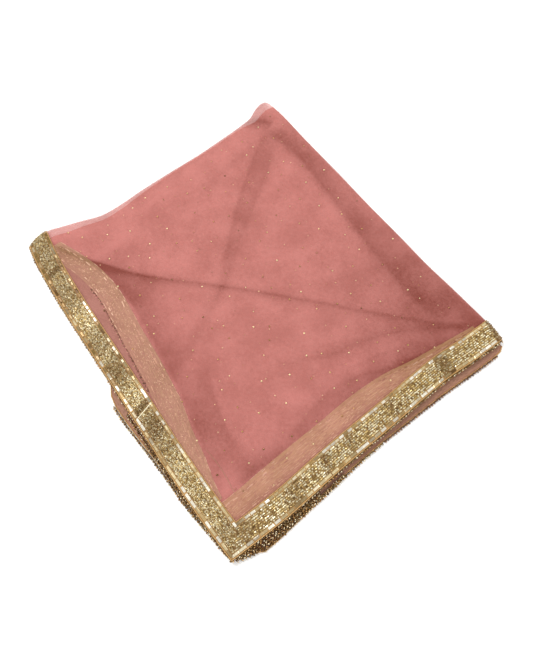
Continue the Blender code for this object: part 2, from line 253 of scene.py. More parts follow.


# The net is painted darkest at the far end of the end ribbon, partly for the layers heaped there and partly
# as painted shade, and it pales over the long fold's rim
heapAndShade = {"place": (-28, 490), "fade": [(0, 0.64), (45, 0.47), (105, 0.35), (150, 0.25), (220, 0.1), (300, 0)],
        "paleRim": 16}


def layerAndShadeTone(x, y):
    # 0 where the net is lightest to 1 where it is darkest: partly the layers under it, partly painted shade
    # in its creases and beside the ribbons, and below 0 a painted highlight on a ridge
    tone = 0 * (x + y)
    for line in pressedLines.values():
        distance, share = awayFromRoute(x, y, line["route"])
        reach = np.where(distance < 0, *line["reach"])
        ends = soft(share * 12) * soft((1 - share) * 12)
        tone = tone + followTable(line["tone"], share) * np.exp(-((np.abs(distance) / reach) ** 1.3)) * ends
    away = np.hypot(x - heapAndShade["place"][0], y - heapAndShade["place"][1])
    tone = 1 - (1 - np.clip(tone, -0.3, 0.95)) * (1 - followTable(heapAndShade["fade"], away))
    longInset = edgeAt("longFold", x) - y
    return np.clip(tone * soft((longInset + 6) / heapAndShade["paleRim"]), -0.3, 1)


def makeObject(name, points, faces, material, smooth=True, **marks):
    # a mesh object from millimetre points, riding on the packet; marks are attributes stored on its points
    points = np.asarray(points, float).reshape(-1, 3) * mm + (cornerX, cornerY, 0)
    mesh = bpy.data.meshes.new(name)
    mesh.from_pydata(points.tolist(), [], [list(face) for face in faces])
    mesh.materials.append(material)
    if smooth:
        mesh.shade_smooth()
    for mark, values in marks.items():
        values = np.asarray(values, np.float32)
        kind, field = ("FLOAT", "value") if values.size == len(points) else ("FLOAT_VECTOR", "vector")
        mesh.attributes.new(mark, kind, "POINT").data.foreach_set(field, values.ravel())
    thing = bpy.data.objects.new(name, mesh)
    bpy.context.scene.collection.objects.link(thing)
    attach(thing, "root")
    return thing


def gridFaces(rows, columns, wrap=False):
    # quads of a grid of points, closed round its columns if wrap is set
    r = np.arange(rows - 1)[:, None]
    c = np.arange(columns if wrap else columns - 1)[None, :]
    after = (c + 1) % columns
    return np.stack(np.broadcast_arrays(r * columns + c, (r + 1) * columns + c,
                                        (r + 1) * columns + after, r * columns + after), -1).reshape(-1, 4)


def thicken(thing, thickness):
    # a thin shell: the wall grows down from the upper face
    shell = thing.modifiers.new("wall", "SOLIDIFY")
    shell.thickness = thickness * mm
    shell.offset = -1


def bandGrid(first, last, rows, width, columns):
    # places along a band and across it, as two grids
    return (grid.T for grid in np.meshgrid(np.linspace(first, last, rows), np.linspace(0, width, columns)))


def joinedCopies(name, shape, places, axes, sizes, material, smooth=False, shade=None):
    # one mesh of many copies of a small shape: shape is (points, faces), axes are along, across and up
    points, faces = shape
    moved = places[:, None, :]
    for k, axis in enumerate(axes):
        reach = points[:, k] * sizes[:, k:k + 1]
        moved = moved + reach[..., None] * np.broadcast_to(axis, places.shape)[:, None, :]
    allFaces = [[corner + n * len(points) for corner in face] for n in range(len(places)) for face in faces]
    marks = {} if shade is None else {"shade": np.repeat(shade, len(points))}
    return makeObject(name, moved, allFaces, material, smooth, **marks)


def barShape(bevel):
    # a bar one unit long, wide and high, with its upper edges and ends drawn in
    half = 0.5 - bevel
    points = []
    for end, reach in ((-0.5, half), (0.5, half)):
        inner = math.copysign(reach, end)
        points += [(end, -0.5, 0), (end, 0.5, 0), (inner, half, 1), (inner, -half, 1)]
    faces = [(3, 2, 1, 0), (4, 5, 6, 7), (0, 1, 5, 4), (1, 2, 6, 5), (2, 3, 7, 6), (3, 0, 4, 7)]
    return np.array(points), faces


def ballShape(sides, rings):
    # a ball of unit radius
    points = [(0, 0, 1)]
    faces = []
    for r in range(1, rings):
        for s in range(sides):
            polar, turn = math.pi * r / rings, 2 * math.pi * s / sides
            points.append((math.sin(polar) * math.cos(turn), math.sin(polar) * math.sin(turn),
                           math.cos(polar)))
    points.append((0, 0, -1))
    for s in range(sides):
        after = (s + 1) % sides
        faces.append((0, 1 + s, 1 + after))
        for r in range(rings - 2):
            low, high = 1 + r * sides, 1 + (r + 1) * sides
            faces.append((low + s, high + s, high + after, low + after))
        low = 1 + (rings - 2) * sides
        faces.append((low + s, len(points) - 1, low + after))
    return np.array(points), faces


def tubeAlong(name, route, radius, material, sides=6):
    # a thin round cord through a dense route
    tangent = unit(np.gradient(route, axis=0))
    across = unit(np.cross(tangent, upright))
    up = np.cross(across, tangent)
    turn = np.linspace(0, 2 * math.pi, sides, endpoint=False)
    ring = (route[:, None, :] + radius * np.cos(turn)[None, :, None] * across[:, None, :]
            + radius * np.sin(turn)[None, :, None] * up[:, None, :])
    count = len(route) * sides
    faces = gridFaces(len(route), sides, wrap=True).tolist()
    faces += [list(range(sides)), list(range(count - 1, count - sides - 1, -1))]
    run = runAlong(route)
    weave = np.stack(np.broadcast_arrays(run[:, None], turn[None, :] * radius, 0.0), -1)
    return makeObject(name, ring, faces, material, weave=weave)


# Rose nylon net, knitted from very fine thread: matt with a faint sheen, half see-through in one layer, and
# darker where the layers under it lie close, with painted shade in its creases and beside the ribbons. Sizes
# are in millimetres. Its own 1 mm mesh is too fine to show, so it is drawn as the broad ripple that it gives
# the light.
netLook = {"rose": "#CF867E", "deep": "#90493E", "alphaTop": 0.46, "alphaSecond": 0.36,
           "grain": 4.5, "cloud": 45, "ripple": 16.336}
# the stacked net is the same cloth, many layers deep: opaque, with lines of layers at its edges
layersLook = {"thin": "#CA8077", "deep": "#63291E", "grain": 6, "edgeLines": 6.9115}
# giltShade is the tint of darkened gilt: real rubbing, and painted shade in its folds and creases
giltShade = "#806838"  # what folds and rubbing leave of the gilt, as a tint
ribsToThread = 3.125  # ribs are about ten to a thread's width, too fine to show one by one


def waveScale(spacing):
    # the wave texture's scale, in object metres, for bands so many millimetres apart
    return 100 * math.pi / spacing


def dulled(add, gilt):
    # the gilt's colour, tinted by the stored shade
    shade = add("Attribute", {"attribute_name": "shade"})
    return add("MixRGB", {"blend_type": "MULTIPLY", "Fac": shade.outputs["Fac"],
                          "Color1": gilt.outputs["Color"], "Color2": linear(giltShade)}).outputs["Color"]


def makeNet(name, alpha):
    material, shader, add = newMaterial(name, {"Roughness": 0.75, "Alpha": alpha, "Sheen Weight": 0.15,
                                               "Sheen Roughness": 0.4, "Specular IOR Level": 0.2, "IOR": 1.5})
    place = add("TexCoord", {}).outputs["Object"]
    # the stored tone darkens the net for the layers under it and as painted shade, and lightens it as a
    # painted highlight on a ridge
    tone = add("Attribute", {"attribute_name": "layers"})
    grain = add("TexNoise", {"Scale": 1000 / netLook["grain"], "Detail": 4.0, "Roughness": 0.7,
                             "Vector": place})
    cloud = add("TexNoise", {"Scale": 1000 / netLook["cloud"], "Vector": place})
    mottle = add("Math", {"operation": "ADD", 0: grain.outputs["Fac"], 1: cloud.outputs["Fac"]})
    stain = add("MapRange", {"From Min": 0.8, "From Max": 1.2, "To Max": 0.4,
                             "Value": mottle.outputs[0]})
    total = add("Math", {"operation": "ADD", "use_clamp": True, 0: tone.outputs["Fac"],
                         1: stain.outputs["Result"]})
    colour = add("MixRGB", {"Fac": total.outputs[0], "Color1": linear(netLook["rose"]),
                            "Color2": linear(netLook["deep"])})
    waves = [add("TexWave", {"bands_direction": axis, "Distortion": 1.5, "Detail": 1.0,
                             "Scale": waveScale(netLook["ripple"]), "Vector": place}) for axis in "XY"]
    both = add("Math", {"operation": "MAXIMUM", 0: waves[0].outputs["Fac"], 1: waves[1].outputs["Fac"]})
    bump = add("Bump", {"Strength": 0.12, "Distance": 0.0003, "Height": both.outputs[0]})
    setNode(shader, {"Base Color": colour.outputs["Color"], "Normal": bump.outputs["Normal"]})
    return material


def makeLayers(name):
    material, shader, add = newMaterial(name, {"Roughness": 0.85, "Sheen Weight": 0.15,
                                               "Specular IOR Level": 0.2})
    place = add("TexCoord", {}).outputs["Object"]
    # the stored tone darkens the stack for its depth and as painted shade
    tone = add("Attribute", {"attribute_name": "layers"})
    grain = add("TexNoise", {"Scale": 1000 / layersLook["grain"], "Detail": 3.0, "Vector": place})
    total = add("Math", {"operation": "MULTIPLY_ADD", 0: grain.outputs["Fac"], 1: 0.3,
                         2: tone.outputs["Fac"]})
    colour = add("MixRGB", {"use_clamp": True, "Fac": total.outputs[0],
                            "Color1": linear(layersLook["thin"]), "Color2": linear(layersLook["deep"])})
    lines = add("TexWave", {"bands_direction": "Z", "Scale": waveScale(layersLook["edgeLines"]),
                            "Distortion": 2.0, "Vector": place})
    bump = add("Bump", {"Strength": 0.5, "Distance": 0.0004, "Height": lines.outputs["Fac"]})
    setNode(shader, {"Base Color": colour.outputs["Color"], "Normal": bump.outputs["Normal"]})
    return material


def makeMetalThread(name, light, middle, dark, roughness, metallic, grain):
    # gilt metal in small loose bits: each takes its own tone, dulled by the stored shade, its finish scuffed
    material, shader, add = newMaterial(name, {"Roughness": roughness, "Metallic": metallic})
    place = add("TexCoord", {}).outputs["Object"]
    island = add("NewGeometry", {})
    tone = add("ValToRGB", {"Fac": island.outputs["Random Per Island"]})
    ramp = tone.color_ramp.elements
    ramp[0].color = linear(dark)
    ramp[1].color = linear(light)
    ramp[1].position = 0.8
    ramp.new(0.4).color = linear(middle)
    scuff = add("TexNoise", {"Scale": 1000 / grain, "Detail": 3.0, "Vector": place})
    bright = add("MapRange", {"From Min": 0.3, "From Max": 0.7, "To Min": 0.68,
                              "Value": scuff.outputs["Fac"]})
    mixed = add("MixRGB", {"blend_type": "MULTIPLY", "Fac": 1.0, "Color1": tone.outputs["Color"],
                           "Color2": bright.outputs["Result"]})
    bump = add("Bump", {"Strength": 0.2, "Distance": 0.0002, "Height": scuff.outputs["Fac"]})
    setNode(shader, {"Base Color": dulled(add, mixed), "Normal": bump.outputs["Normal"]})
    return material


def makeRibbon(name, light, dark, roughness, metallic, threads, streak):
    # woven ribbon: fine ribs run along it, read from the stored millimetres along and across, and it catches
    # the light in short streaks
    material, shader, add = newMaterial(name, {"Roughness": roughness, "Metallic": metallic})
    place = add("Attribute", {"attribute_name": "weave"}).outputs["Vector"]
    stretched = add("Mapping", {"Scale": (1 / streak, 1 / threads, 1.0), "Vector": place})
    streaks = add("TexNoise", {"Scale": 1.0, "Detail": 3.0, "Roughness": 0.6,
                               "Vector": stretched.outputs["Vector"]})
    ribs = add("TexWave", {"bands_direction": "Y", "Scale": ribsToThread / threads, "Distortion": 0.6,
                           "Vector": place})
    lit = add("MapRange", {"From Min": 0.32, "From Max": 0.68, "Value": streaks.outputs["Fac"]})
    lower = add("Math", {"operation": "MULTIPLY", 0: lit.outputs["Result"], 1: 0.8})
    both = add("Math", {"operation": "MULTIPLY_ADD", "use_clamp": True, 0: ribs.outputs["Fac"], 1: 0.3,
                        2: lower.outputs[0]})
    tone = add("MixRGB", {"Fac": both.outputs[0], "Color1": linear(dark), "Color2": linear(light)})
    bump = add("Bump", {"Strength": 0.35, "Distance": 0.0003, "Height": both.outputs[0]})
    setNode(shader, {"Base Color": dulled(add, tone), "Normal": bump.outputs["Normal"]})
    return material


# Each ribbon has its colours from light to dark, roughness, metallic, thread width and streak length; each
# metal has three colours, roughness, metallic and the grain of its scuffs. Lengths are in millimetres.
topNetCloth = makeNet("roseNet", netLook["alphaTop"])
secondNetCloth = makeNet("roseNetSecondLayer", netLook["alphaSecond"])
layers = makeLayers("roseNetLayers")
# rayon woven with gilt film: half matt, with a thread's soft glint
ribbonGround = makeRibbon("giltRibbonGround", "#C8A064", "#8A6636", 0.5, 0.25, 1.5, 3.0)
piping = makeRibbon("orangeGoldPiping", "#D6A86A", "#94703C", 0.5, 0.2, 1.2, 2.5)
lineThread = makeRibbon("brownLineThread", "#B88C50", "#7A5428", 0.55, 0.1, 1.0, 2.5)
# crimped gilt wire and flat gilt strip: bright, but lacquered and rubbed, so less than fully metallic
sticks = makeMetalThread("crushedGiltWire", "#FFF6D2", "#E6C984", "#86662F", 0.33, 0.4, 2.5)
strips = makeMetalThread("flatGiltStrip", "#FFFAE8", "#EEDCAE", "#B6945A", 0.28, 0.4, 2.0)
# the ribbon's wrong side: the film's backing and loose wire ends, duller and greener
wrongSide = makeRibbon("ribbonWrongSide", "#A09A60", "#6A6238", 0.6, 0.15, 1.9, 14.0)
wrongSideLong = makeRibbon("ribbonWrongSideStriped", "#BEAA6A", "#8C7846", 0.6, 0.15, 1.9, 40.0)
wrongSideDeep = makeRibbon("ribbonWrongSideDeep", "#7C6A44", "#403422", 0.65, 0.1, 2.2, 2.5)
underRibbon = makeRibbon("underRibbonWrongSide", "#A87860", "#7C543E", 0.65, 0.05, 2.0, 5.0)
wrongStrips = makeMetalThread("dullGiltStrip", "#F4E2B8", "#CBB282", "#94784C", 0.4, 0.3, 3.0)
wrongSpecks = makeMetalThread("wrongSideWireEnds", "#ECDAA8", "#A68A54", "#6C5430", 0.45, 0.3, 3.0)
# bronzed glass beads and stamped gilt studs: small hard glints
# the beads left undulled show these colours as a painted glint
bronze = makeMetalThread("bronzedBead", "#FFF4D2", "#E0B070", "#7C5028", 0.3, 0.85, 3.0)
veiledBronze = makeMetalThread("beadUnderNet", "#D6AA88", "#A87C60", "#84584A", 0.4, 0.3, 3.0)
studMetal = makeMetalThread("giltStud", "#F0D9A4", "#BD9258", "#74502E", 0.3, 0.5, 2.0)
print("materials made")


def sheetGrid(lengthStations, widthStations):
    # where grid lines cross between the four edges of the top layer
    x, y = np.meshgrid(-pile["length"] * (1 - lengthStations), pile["width"] * widthStations, indexing="ij")
    for _ in range(4):
        low, high = edgeAt("shortFold", y), edgeAt("end", y)
        x = low + (high - low) * lengthStations[:, None]
        low, high = edgeAt("side", x), edgeAt("longFold", x)
        y = low + (high - low) * widthStations[None, :]
    return x, y


def roundedStations(reach, length, bend, rest):
    # stations from a folded edge: close together where the cloth rounds over, then even
    angle = np.linspace(0, math.pi / 2, bend)
    start = reach / length
    return np.concatenate([start * (1 - np.cos(angle)), np.linspace(start, 1, rest)[1:]])


def netSheet(name, drop, material, spacing, replaced=None):
    # one layer of net, a drop under the top one, finer where it rounds over the two folds
    length, width = pile["length"], pile["width"]
    x, y = sheetGrid(roundedStations(pile["shortReach"], length, 26, int(length / spacing)),
                     1 - roundedStations(pile["longReach"], width, 10, int(width / spacing))[::-1])
    z = clothTop(x, y) - drop
    thing = makeObject(name, np.stack([x, y, z], -1), gridFaces(*x.shape), material, layers=layerAndShadeTone(x, y))
    if replaced:
        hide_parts(replaced)


netSheet("topNet", 0.0, topNetCloth, 2.4, "top_net")
netSheet("secondNet", 0.9, secondNetCloth, 4.5)
print("net laid")

# The hidden folds: how far their top stays inside each edge, and how the layers bulge and show at the edges
folds = {
    "drop": 1.9,
    "sideInset": 12, "endInset": 12, "longInset": 4.5,
    "shortInset": [(0, 22), (60, 24), (110, 20), (170, 15), (260, 12), (360, 10), (420, 14), (450, 24),
                   (490, 28)],
    "layerCount": 5, "stepsEach": 5, "laceReach": 3.2, "longReach": 3.6, "shortReach": 6.0,
    "bulge": 0.75, "unevenness": 0.25, "grid": (170, 150),
}


def hiddenFoldsPiece():
    # the layers below, one rounded stack whose edges show as separate folds, flat on the table
    length, width = np.linspace(0, 1, folds["grid"][0]), np.linspace(0, 1, folds["grid"][1])
    x, y = sheetGrid(length, width)
    for _ in range(2):
        low = edgeAt("shortFold", y) + followTable(folds["shortInset"], y)
        high = edgeAt("end", y) - folds["endInset"]
        x = low + (high - low) * length[:, None]
        low = edgeAt("side", x) + folds["sideInset"]
        high = edgeAt("longFold", x) - folds["longInset"]
        y = low + (high - low) * width[None, :]
    points = [np.stack([x, y, clothTop(x, y) - folds["drop"]], -1).reshape(-1, 3)]
    faces = gridFaces(*x.shape).tolist()
    numbers = np.arange(x.size).reshape(x.shape)
    rim = np.concatenate([numbers[:, 0], numbers[-1, 1:], numbers[-2::-1, -1], numbers[0, -2:0:-1]])
    top = points[0][rim]
    row, column = np.divmod(rim, x.shape[1])
    outward = np.zeros_like(top)
    outward[row == x.shape[0] - 1, 0] = folds["laceReach"]
    outward[row == 0, 0] = -folds["shortReach"]
    outward[column == x.shape[1] - 1, 1] = folds["longReach"]
    outward[column == 0, 1] = -folds["laceReach"]
    steps = folds["stepsEach"]
    levels = folds["layerCount"] * steps
    above, count = rim, x.size
    for level in range(1, levels + 1):
        layer = level // steps
        bulge = 1 - folds["bulge"] + folds["bulge"] * abs(math.sin(math.pi * level / steps)) ** 0.5
        wave = 1 + folds["unevenness"] * np.sin(top[:, 0] / 37 + layer * 2.1) * np.cos(top[:, 1] / 29 + layer)
        ring = top + outward * (bulge * wave)[:, None]
        ring[:, 2] = top[:, 2] * (1 - level / levels)
        points.append(ring)
        here = count + np.arange(len(rim))
        faces += np.stack([above, here, np.roll(here, -1), np.roll(above, -1)], -1).tolist()
        above, count = here, count + len(rim)
    faces.append(above[::-1].tolist())
    points = np.concatenate(points)
    thing = makeObject("hiddenFolds", points, faces, layers, layers=layerAndShadeTone(points[:, 0], points[:, 1]))
    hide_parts("hidden_folds")


hiddenFoldsPiece()
print("hidden folds stacked")

# The gold ribbon, measured inwards from its outer edge across a 35 mm width
ribbon = {
    "lift": 1.1, "wall": 0.8,
    "pipings": {"Outer": (0.7, 0.7), "Inner": (34.5, 0.5)},
    "threads": (6.3, 29.0), "threadRadius": 0.3,
    "outerStrips": {"at": 3.8, "length": 11.0, "gap": 0.2, "width": 4.2, "height": 0.8},
    "innerStrips": {"at": 31.5, "length": 8.0, "gap": 0.2, "width": 3.9, "height": 0.7},
    "stripLean": 12,
    "sticksBetween": (7.6, 27.8), "stickHeight": 1.0, "stickLean": 22, "stickRoll": 20,
    # the ground between the wires is painted darker, as the shade that falls between them
    "groundShadeUnderWire": {"between": (7, 28), "shade": 0.62},  # the ground under the wire
    "side": {"flat": (0.035, 0.58), "rows": 15, "pitch": 2.3, "length": 2.6, "width": 1.3, "turn": 30,
             "jitter": 0.22},
    "end": {"flat": (0.037, 0.51), "rows": 8, "pitch": 2.6, "length": 3.0, "width": 2.35, "turn": 9,
            "jitter": 0.16},
    # how much darker the flat strips are painted, as shade where they catch less light, at places along the
    # packet's side or end
    "stripShade": {"side": [(-590, 0.5), (-400, 0.5), (-330, 0.35), (-270, 0.1), (0, 0)],
                   "end": [(0, 0.1), (500, 0.1)]},
}

# The side ribbon's two ends lap here: the upper one's turned edge starts on the outer edge and runs inwards
joint = {"outer": (-234, 0), "run": (-7, 28), "lift": 1.7, "radius": 0.8}

# How worn and crushed the gilt is, with painted shade in its folds and creases, 0 bright to 1 dark, at places
# along the packet's side or end
wearAndShade = {
    "side": [(-590, 0.45), (-516, 0.55), (-508, 1.0), (-500, 0.35), (-470, 0.5), (-445, 0.45), (-432, 0.2),
             (-420, 0), (-395, 0.05), (-375, 0.45), (-350, 0.4), (-338, 0.2), (-325, 0.6), (-305, 0.65),
             # the dark band from -246 to -240 is the painted shadow beside the joint's turned edge
             (-290, 0.4), (-268, 0.05), (-252, 0.1), (-246, 0.8), (-240, 0.85), (-237, 0.2), (-226, 0.5),
             (-212, 0.8), (-198, 0.7), (-188, 0.35), (-172, 0.4), (-160, 0.2), (-130, 0.06), (-95, 0.12),
             (-54, 0.12), (-40, 0.42), (0, 0.3)],
    "end": [(0, 0.35), (40, 0.42), (54, 0.08), (95, 0.1), (112, 0.45), (123, 0.5), (135, 0.25), (150, 0),
            (168, 0.05), (179, 0.8), (187, 0.2), (215, 0.12), (224, 0.6), (232, 0.08), (290, 0.12),
            (303, 0.5), (315, 0.1), (380, 0.08), (395, 0.3), (404, 0.85), (411, 0.7), (422, 0.25),
            (440, 0.05), (496, 0.03), (500, 0.7), (510, 0.8)],
}
# the dark patches are partly worn gilt and partly painted shade in the ribbon's folds
wearAndShadeSlant = {"side": 0.25, "end": -0.2}  # the dull patches lie a little aslant across the ribbon


def alongEdge(which, places):
    return places[..., 0 if which == "side" else 1]


def wearAndShadeAt(which, places, inward):
    along = alongEdge(which, places) + wearAndShadeSlant[which] * (inward - 17)
    return np.interp(along, *np.array(wearAndShade[which], float).T)


class Border:
    # one stretch of top border: places and directions on it from the run along it and mm inwards
    def __init__(self, which):
        self.which = which
        # stations lie closest together where the ribbon turns over its fold
        share = np.concatenate([0.1 * np.linspace(0, 1, 100)**2, 0.1 + 0.9 * np.linspace(0, 1, 400)[1:]])
        if which == "end":
            share = 1 - share[::-1]
        self.share, self.run = share, runAlong(self.spot(share, 0.5))
        self.length = self.run[-1]

    def spot(self, share, inward):
        # share runs along it and inward from 0 at its outer edge to 1; the laced corner is mitred
        inward = np.broadcast_to(np.asarray(inward, float), share.shape)
        if self.which == "side":
            start = edgeAt("shortFold", inward * pile["sideLace"] + 5)
            end = edgeAt("end", inward * pile["sideLace"]) - inward * pile["endLace"] + 1.2
            x = start + (end - start) * share
            y = edgeAt("side", x) + inward * pile["sideLace"]
        else:
            start = edgeAt("side", -inward * pile["endLace"]) + inward * pile["sideLace"]
            end = edgeAt("longFold", -11 - inward * pile["endLace"])
            y = start + (end - start) * share
            x = edgeAt("end", y) - inward * pile["endLace"]
        return np.stack([x, y, clothTop(x, y)], -1)

    def frames(self, run, inward):
        # places lifted off the net, a run along and mm inwards, with their along, inward and up directions
        run = np.asarray(run, float)
        inward = np.broadcast_to(np.asarray(inward, float), run.shape) / pile["sideLace"]
        share = np.interp(run, self.run, self.share)
        step = 1.5 / self.length
        before, after = np.clip(share - step, 0, 1), np.clip(share + step, 0, 1)
        along = unit(self.spot(after, inward) - self.spot(before, inward))
        outer, inner = np.clip(inward - 0.04, 0, 1), np.clip(inward + 0.04, 0, 1)
        across = unit(self.spot(share, inner) - self.spot(share, outer))
        up = unit(np.cross(along, across))
        up = np.where(up[:, 2:3] < 0, -up, up)
        return self.spot(share, np.clip(inward, 0, 1)) + up * ribbon["lift"], along, across, up


borders = {which: Border(which) for which in ("side", "end")}


def topRibbon(which):
    border, title = borders[which], f"top{which.title()}"
    run = np.concatenate([np.linspace(0, 60, 60), np.linspace(60, border.length, 260)[1:]])
    if which == "end":
        run = border.length - run[::-1]
    inward = np.linspace(0, 35, 15)
    grid = np.stack([border.frames(run, w)[0] for w in inward], 1)
    weave = np.stack(np.broadcast_arrays(run[:, None], inward[None, :], 0.0), -1)
    first, last = ribbon["groundShadeUnderWire"]["between"]
    between = ribbon["groundShadeUnderWire"]["shade"] * ((inward > first) & (inward < last))[None, :]
    # the ground's shade: worn gilt and painted shade along the ribbon, and painted shade between the wires
    ground = makeObject(f"{title}Ribbon", grid, gridFaces(*grid.shape[:2]), ribbonGround, weave=weave,
                        shade=np.maximum(0.8 * wearAndShadeAt(which, grid, inward[None, :]), between))
    thicken(ground, ribbon["wall"])
    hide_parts(f"top_{which}_border")
    trims = []
    for label, (at, radius) in ribbon["pipings"].items():
        route, *_, up = border.frames(run, at)
        trims.append(tubeAlong(f"{title}Piping{label}", route + up * 0.3, radius, piping))
    for n, at in enumerate(ribbon["threads"]):
        route, *_, up = border.frames(run, at)
        trims.append(tubeAlong(f"{title}Thread{n}", route + up * 0.2, ribbon["threadRadius"], lineThread, 5))
    trims += [flatStrips(which, label) for label in ("outerStrips", "innerStrips")]
    trims.append(crushedWire(which))
    if which == "side":
        (x, y), (alongX, alongY), share = joint["outer"], joint["run"], np.linspace(0, 1, 20)
        x, y = x + alongX * share, y + alongY * share
        route = np.stack([x, y, clothTop(x, y) + joint["lift"]], -1)
        trims.append(tubeAlong(f"{title}Joint", route, joint["radius"], strips))


def crushedWire(which):
    # rows of short wires between the strips, each one crushed its own way
    border, wire = borders[which], ribbon[which]
    rows = []
    for n, at in enumerate(np.linspace(*ribbon["sticksBetween"], wire["rows"])):
        count = int(border.length / wire["pitch"])
        middles = (np.arange(count) + 0.5 + 0.5 * (n % 2)) * border.length / (count + 0.5)
        middles = np.clip(middles + dice.normal(0, 0.35, count), 0.3, border.length - 0.3)
        place, along, across, up = border.frames(middles, at + dice.normal(0, wire["jitter"], count))
        # the stretches marked worn and shaded are crushed and painted darker, and bright ones still lie
        # straight
        shade = wearAndShadeAt(which, place, at)
        crushed = 0.3 + 0.9 * shade
        turn = np.radians(dice.normal(0, wire["turn"], count) * crushed)[:, None]
        lean = np.radians(dice.normal(0, ribbon["stickLean"], count) * crushed)[:, None]
        roll = np.radians(dice.normal(0, ribbon["stickRoll"], count))[:, None]
        direction = along * np.cos(turn) + across * np.sin(turn)
        tipped = unit(up + direction * np.tan(lean) + np.cross(up, direction) * np.tan(roll))
        direction = unit(direction - tipped * np.sum(direction * tipped, -1, keepdims=True))
        place = place + up * dice.uniform(-0.25, 0.25, count)[:, None]
        sizes = np.stack([wire["length"] * dice.uniform(0.7, 1.1, count) * (1.1 - 0.25 * crushed),
                          wire["width"] * dice.uniform(0.8, 1.15, count),
                          ribbon["stickHeight"] * dice.uniform(0.8, 1.2, count)], -1)
        rows.append((place, direction, tipped, sizes, np.clip(shade + dice.normal(0, 0.18, count), 0, 1)))
    places, along, up, sizes, shade = (np.concatenate(part) for part in zip(*rows))
    return joinedCopies(f"top{which.title()}Sticks", barShape(0.2), places,
                        (along, unit(np.cross(up, along)), up), sizes, sticks, shade=shade)


def flatStrips(which, label):
    # one row of flat gilt strips, end to end, each leaning a little
    border, kind = borders[which], ribbon[label]
    count = int(border.length / (kind["length"] + kind["gap"]))
    middles = (np.arange(count) + 0.5) * border.length / count + dice.normal(0, 0.5, count)
    place, along, across, up = border.frames(middles, kind["at"] + dice.normal(0, 0.15, count))
    lean = np.radians(dice.normal(0, ribbon["stripLean"], count))[:, None]
    tipped = unit(up * np.cos(lean) + across * np.sin(lean))
    sizes = np.stack([kind["length"] * dice.uniform(0.8, 1.04, count), np.full(count, kind["width"]),
                      np.full(count, kind["height"])], -1)
    # the strips are painted darker where they catch less light, on top of the worn gilt and painted shade
    dull = followTable(ribbon["stripShade"][which], alongEdge(which, place)) + dice.normal(0.05, 0.2, count)
    return joinedCopies(f"top{which.title()}{label[0].upper()}{label[1:]}", barShape(0.14), place + up * 0.1,
                        (along, unit(np.cross(tipped, along)), tipped), sizes, strips,
                        shade=np.clip(0.75 * wearAndShadeAt(which, place, kind["at"]) + dull, 0, 1))


for which in borders:
    topRibbon(which)
print("top ribbons sewn")

# Picot edging: small dark beads swing out in a scallop to a larger one, which is mostly left bright as a
# painted glint. A seed is placed by its share of the scallop along and out; glint is the share of seeds left
# bright the same way.
picot = {"pitch": 4.9, "reach": 2.3, "peakRadius": 1.3, "seedRadius": 0.88, "glint": 0.1, "jitter": 0.3,
         "seeds": ((0.0, 0.0), (0.15, 0.3), (0.3, 0.7), (0.7, 0.7), (0.85, 0.3), (0.5, 0.35), (0.33, 0.05),
                   (0.67, 0.05))}


def beadEdging(name, route, outward, drop=1.0, replaced=None, beads=bronze):
    # strings the edging along a dense route; outward points away from the ribbon
    run, outward = runAlong(route), np.broadcast_to(outward, route.shape)
    count = int(run[-1] / picot["pitch"])
    pitch = run[-1] / count
    start = np.arange(count) * pitch

    def at(distance, reach):
        place, out = (np.stack([np.interp(distance, run, rows[:, k]) for k in range(3)], -1)
                      for rows in (route, outward))
        swing = 0.3 + picot["reach"] * reach + dice.normal(0, picot["jitter"], count)
        place = place + unit(out) * swing[:, None]
        sunk = drop * (0.3 + 0.7 * reach) + dice.normal(0, picot["jitter"], count)
        return place - upright * sunk[:, None]

    centres = [at(start + pitch / 2 + dice.normal(0, 0.4, count), dice.uniform(0.7, 1.1, count))]
    radii = [picot["peakRadius"] * dice.uniform(0.8, 1.08, count)]
    # three in four peak beads are left undulled, as a painted glint
    shade = [np.where(dice.random(count) < 0.75, 0.0, 0.8)]
    for share, reach in picot["seeds"]:
        centres.append(at(start + pitch * share, reach))
        radii.append(picot["seedRadius"] * dice.uniform(0.8, 1.15, count))
        shade.append(np.where(dice.random(count) < picot["glint"], 0.0, dice.uniform(0.75, 1.0, count)))
    centres, radii, shade = (np.concatenate(part) for part in (centres, radii, shade))
    centres[:, 2] = np.maximum(centres[:, 2], radii + 0.05)
    along = flatWay(dice.uniform(0, 2 * math.pi, len(radii)))
    thing = joinedCopies(name, ballShape(6, 4), centres, (along, np.cross(upright, along), upright),
                         np.repeat(radii[:, None], 3, 1), beads, smooth=True, shade=shade)
    if replaced:
        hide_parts(replaced)


for which, border in borders.items():
    route, along, across, up = border.frames(np.linspace(0.5, border.length - 0.5, 400), 0.0)
    beadEdging(f"top{which.title()}Beads", route - up * 0.6, -across, replaced=f"top_{which}_beads")
print("top beads strung")

# The second layer's border, wrong side up: place along the edge, then its outer and inner edges
secondBands = {
    "side": {"outer": [(-552, 20), (-510, 33), (-472, 44), (-424, 49), (-387, 46), (-344, 42), (-296, 38),
                       (-252, 33), (-220, 29), (-167, 18), (-133, 12), (-100, 5), (-73, 2)],
             "inner": [(-552, 49), (-510, 66), (-472, 77), (-424, 82), (-387, 80), (-344, 76), (-296, 73),
                       (-252, 68), (-220, 64), (-167, 52), (-133, 47), (-100, 39), (-73, 35)]},
    "end": {"outer": [(3, -34), (34, -34), (100, -36), (164, -39), (199, -41), (278, -44), (326, -42),
                      (370, -34), (421, -27), (484, -20)],
            "inner": [(3, -70), (34, -69), (100, -72), (164, -75), (199, -76), (278, -79), (326, -76),
                      (370, -68), (421, -61), (484, -53)]},
}
